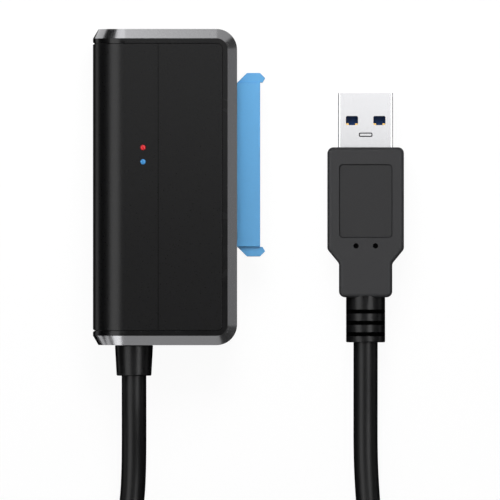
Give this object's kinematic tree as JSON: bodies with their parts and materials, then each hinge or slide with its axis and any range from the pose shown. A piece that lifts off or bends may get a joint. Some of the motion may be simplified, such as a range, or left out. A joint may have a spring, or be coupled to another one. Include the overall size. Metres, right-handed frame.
{
  "type": "usb to sata adapter",
  "caption": "Slim black drive adapter with a gunmetal trim frame and a blue drive connector on its side, on a short round cable with a plug.",
  "frame": {"origin": "on the surface it lies on, under the middle of the housing and its drive connector", "axes": "+Z out of the front panel, +Y along the housing towards the end without the cable, +X out of the drive connector"},
  "size_m": [0.0679, 0.1708, 0.0144],
  "materials": {
    "gunmetal": "dark polished plating",
    "cover_black": "fine satin moulding",
    "connector_blue": "moulded",
    "contact_gold": "gilt",
    "board_green": "solder mask",
    "chip_black": "moulded",
    "tin": "satin",
    "lamp_red": "clear tinted",
    "lamp_blue": "clear tinted",
    "cable_black": "satin sheath",
    "grip_black": "matt moulding",
    "tie_black": "woven strap",
    "shell_steel": "bright plated",
    "tongue_blue": "moulded",
    "wire_red": "sheath",
    "wire_black": "sheath",
    "wire_green": "sheath",
    "wire_white": "sheath"
  },
  "bodies": {
    "root": {"trim_frame": "gunmetal", "front_cover": "cover_black", "rear_cover": "cover_black", "light_pipe_red": "lamp_red", "light_pipe_blue": "lamp_blue", "led_red": "lamp_red", "led_blue": "lamp_blue", "sata_connector": "connector_blue", "circuit_board": "board_green", "bridge_chip": "chip_black", "flash_chip": "chip_black", "regulator": "chip_black", "power_inductor": "chip_black", "crystal": "tin", "capacitor_1": "tin", "capacitor_2": "tin", "cable_gland": "cable_black", "cable_start": "cable_black", "cable_coil": "cable_black", "cable_end": "cable_black", "cable_tie": "tie_black", "plug_overmold": "grip_black", "usb_shell": "shell_steel", "usb_insulator": "tongue_blue", "sata_signal_contact_1": "contact_gold", "sata_signal_contact_2": "contact_gold", "sata_signal_contact_3": "contact_gold", "sata_signal_contact_4": "contact_gold", "sata_signal_contact_5": "contact_gold", "sata_signal_contact_6": "contact_gold", "sata_signal_contact_7": "contact_gold", "sata_power_contact_1": "contact_gold", "sata_power_contact_2": "contact_gold", "sata_power_contact_3": "contact_gold", "sata_power_contact_4": "contact_gold", "sata_power_contact_5": "contact_gold", "sata_power_contact_6": "contact_gold", "sata_power_contact_7": "contact_gold", "sata_power_contact_8": "contact_gold", "sata_power_contact_9": "contact_gold", "sata_power_contact_10": "contact_gold", "sata_power_contact_11": "contact_gold", "sata_power_contact_12": "contact_gold", "sata_power_contact_13": "contact_gold", "sata_power_contact_14": "contact_gold", "sata_power_contact_15": "contact_gold", "usb_contact_1": "contact_gold", "usb_contact_2": "contact_gold", "usb_contact_3": "contact_gold", "usb_contact_4": "contact_gold", "usb_fast_contact_1": "contact_gold", "usb_fast_contact_2": "contact_gold", "usb_fast_contact_3": "contact_gold", "usb_fast_contact_4": "contact_gold", "usb_fast_contact_5": "contact_gold", "wire_1": "wire_red", "wire_2": "wire_black", "wire_3": "wire_green", "wire_4": "wire_white"}
  },
  "joints": []
}
